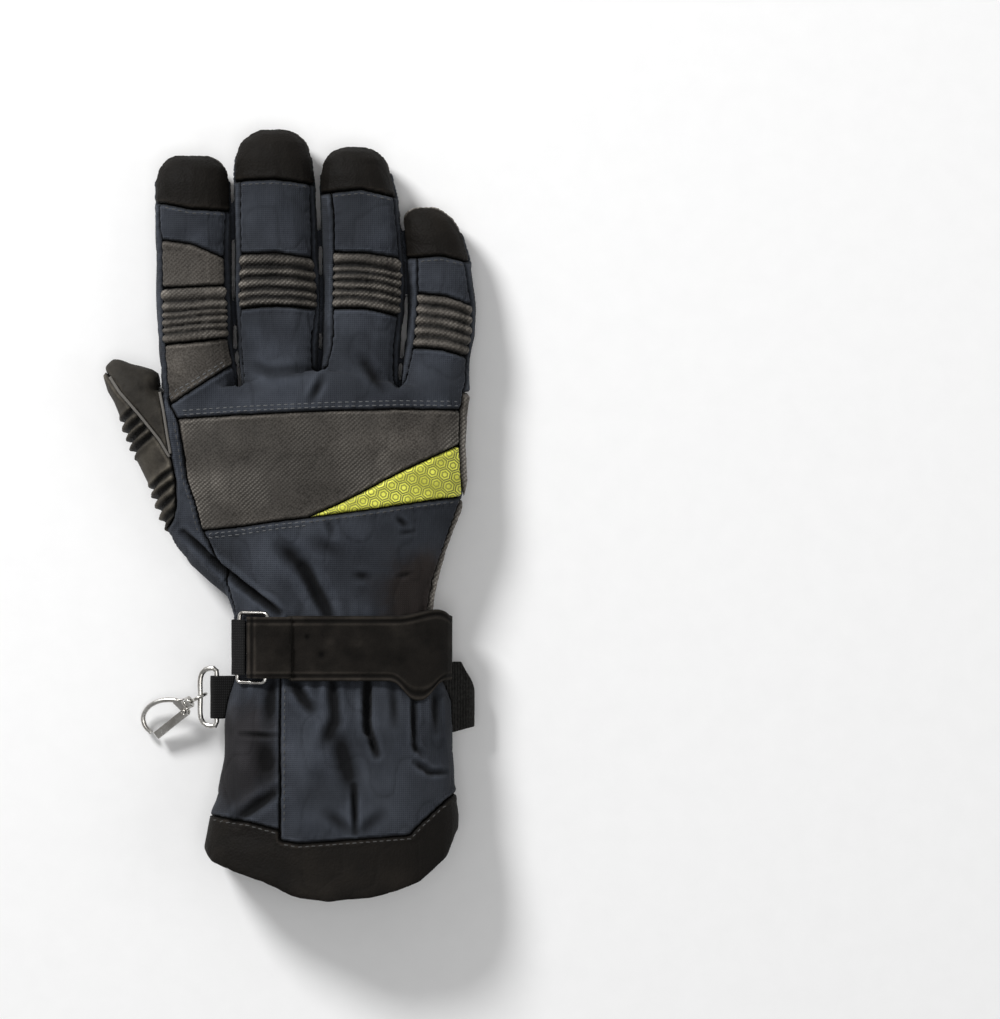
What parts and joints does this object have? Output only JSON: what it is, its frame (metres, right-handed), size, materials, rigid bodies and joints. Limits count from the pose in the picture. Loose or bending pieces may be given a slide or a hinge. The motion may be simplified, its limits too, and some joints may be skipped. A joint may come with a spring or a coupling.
{
  "type": "work glove",
  "caption": "Fire-resistant gauntlet glove for the right hand in navy cloth and dark leather, with ribbed knuckle pads, wrist strap, pull tab and a swivelling snap hook",
  "frame": {"origin": "on the flat palm side, at the middle of the palm", "axes": "+Y to the fingertips, +X away from the thumb, +Z out of the back of the hand"},
  "size_m": [0.1604, 0.3309, 0.0459],
  "materials": {
    "navy_cloth": "woven, matt",
    "black_leather": "smooth, semi-matt",
    "twill_leather": "diagonal grain, matt",
    "reflective_cloth": "retroreflective coating",
    "black_suede": "suede nap",
    "webbing": "woven tape",
    "hook_tape": "hook pile",
    "nickel": "nickel plate"
  },
  "bodies": {
    "glove": {"finger_back_index": "navy_cloth", "finger_back_middle": "navy_cloth", "finger_back_ring": "navy_cloth", "finger_back_little": "navy_cloth", "hand_back_upper": "navy_cloth", "hand_back_lower": "navy_cloth", "gauntlet_back_thumb_side": "navy_cloth", "gauntlet_back": "navy_cloth", "thumb_side_panel": "navy_cloth", "fourchette_index_middle": "navy_cloth", "fourchette_middle_ring": "navy_cloth", "fourchette_ring_little": "navy_cloth", "little_side": "navy_cloth", "tip_cap_index": "black_leather", "tip_cap_middle": "black_leather", "tip_cap_ring": "black_leather", "tip_cap_little": "black_leather", "gauntlet_hem": "black_leather", "thumb_palmar": "black_leather", "index_leather_upper": "twill_leather", "index_leather_lower": "twill_leather", "knuckle_ribs_index": "twill_leather", "knuckle_ribs_middle": "twill_leather", "knuckle_ribs_ring": "twill_leather", "knuckle_ribs_little": "twill_leather", "knuckle_band": "twill_leather", "palm_panel": "twill_leather", "index_front": "twill_leather", "thumb_dorsal": "twill_leather", "reflective_wedge": "reflective_cloth", "gauntlet_palm": "black_suede", "wrist_strap": "black_suede", "strap_loop": "webbing", "hook_tab": "webbing", "pull_tab": "hook_tape", "strap_ring": "nickel", "d_ring": "nickel", "swivel_eye": "nickel"},
    "hook_body": {"hook_body": "nickel"},
    "hook_gate": {"hook_gate": "nickel"}
  },
  "joints": [
    {"name": "hook_swivel", "type": "hinge", "parent": "glove", "child": "hook_body", "pos_m": [-0.0521, -0.0978, 0.0131], "axis": [-0.8424, -0.4291, -0.3259], "continuous": true},
    {"name": "gate_hinge", "type": "hinge", "parent": "hook_body", "child": "hook_gate", "pos_m": [-0.0585, -0.10398, 0.01017], "axis": [0.2904, 0.1479, -0.9454], "range_deg": [0, 20], "stiffness_Nm_per_rad": 0.0004, "springref_deg": -20.05}
  ]
}
